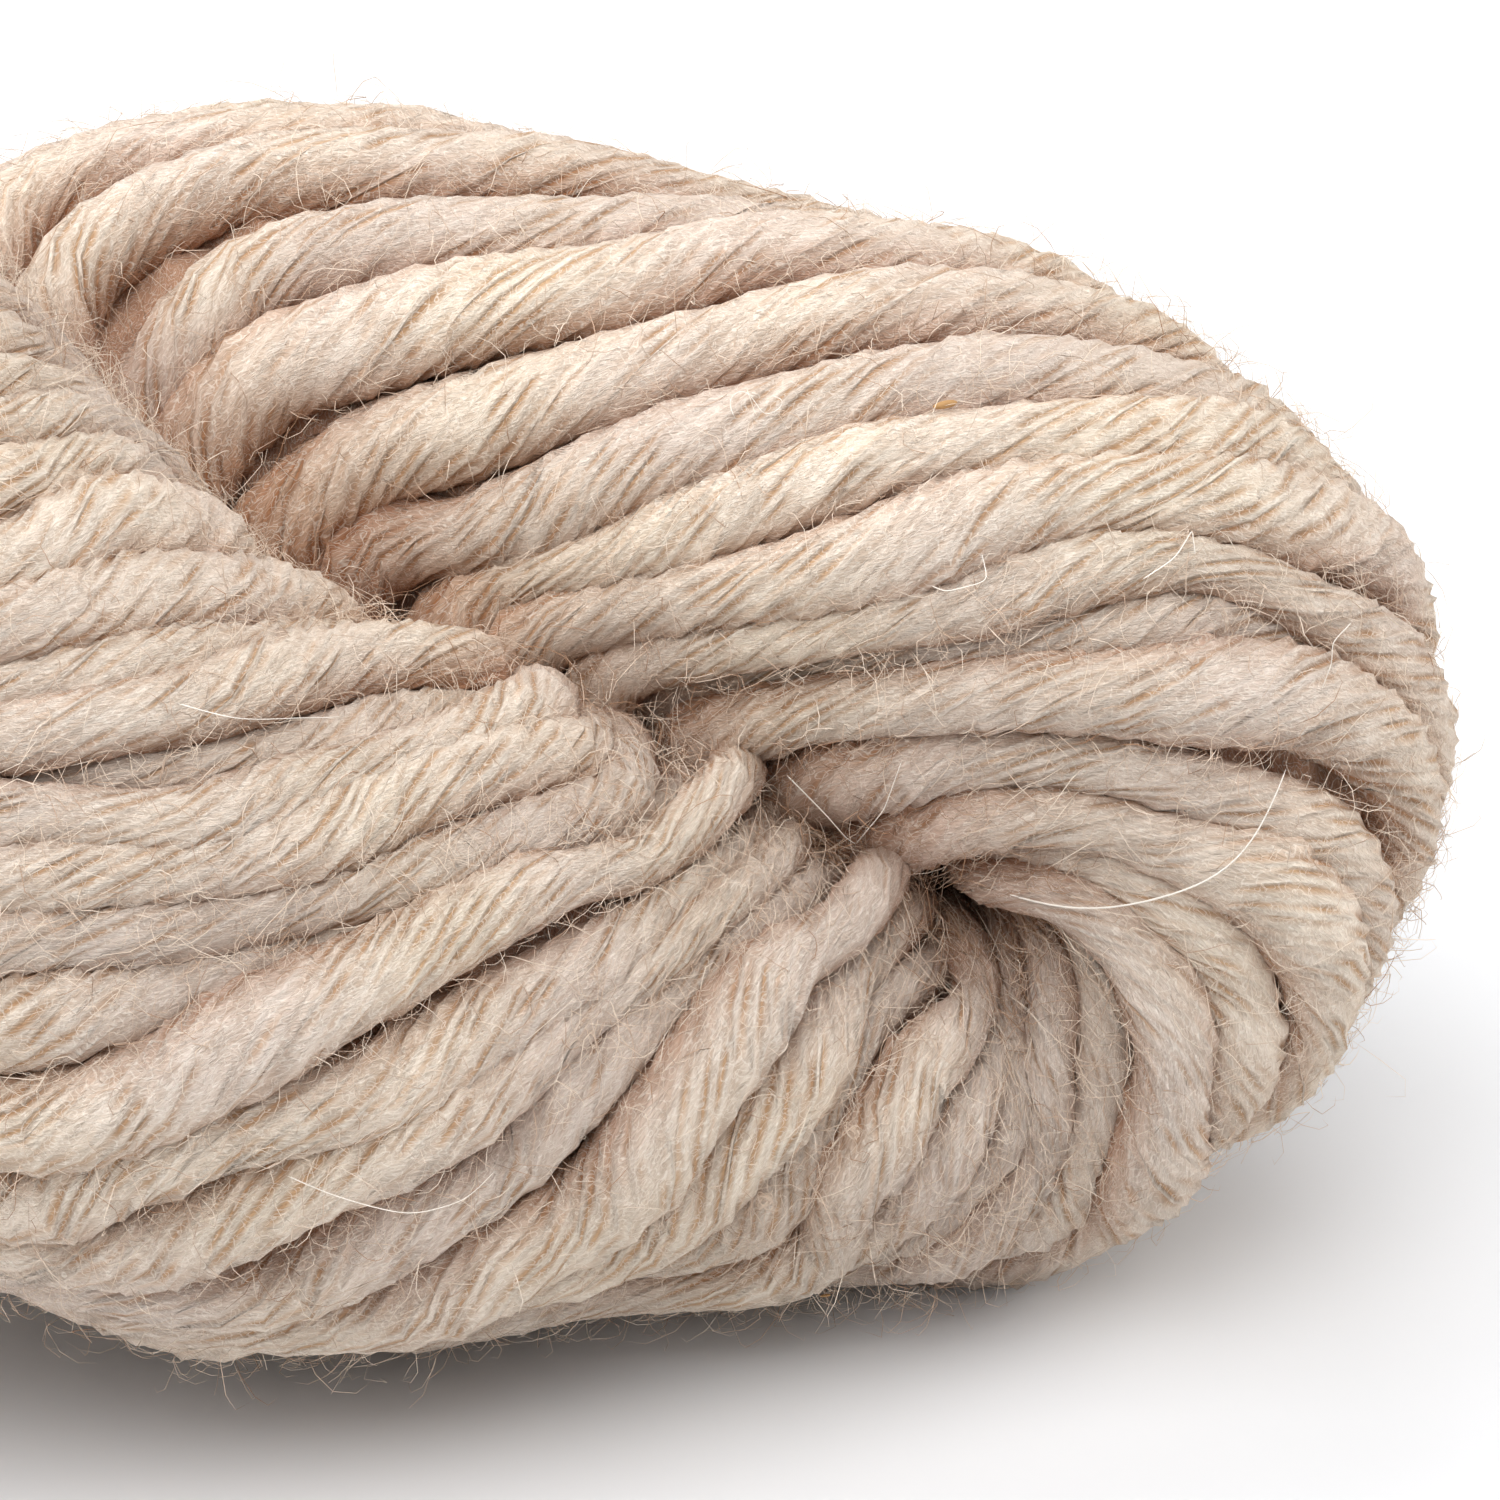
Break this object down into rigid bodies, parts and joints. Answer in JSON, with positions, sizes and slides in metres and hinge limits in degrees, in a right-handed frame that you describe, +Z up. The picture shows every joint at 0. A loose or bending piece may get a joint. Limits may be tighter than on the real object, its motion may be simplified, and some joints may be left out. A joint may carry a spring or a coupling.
{
  "type": "hank of bulky wool yarn",
  "caption": "Hank of thick, soft, undyed wool yarn: a skein twisted hard and folded, so that its halves wrap round each other, lying on its side.",
  "frame": {"origin": "on the surface that the hank lies on, under the middle of its box", "axes": "+X along the hank to the end where the yarn fans out round its eye, +Y across it, +Z up"},
  "size_m": [0.2664, 0.0938, 0.0763],
  "materials": {
    "undyed_wool": "undyed cream to beige wool, matt, softly plied and fuzzy"
  },
  "bodies": {
    "root": {"hank": "undyed_wool"}
  },
  "joints": []
}
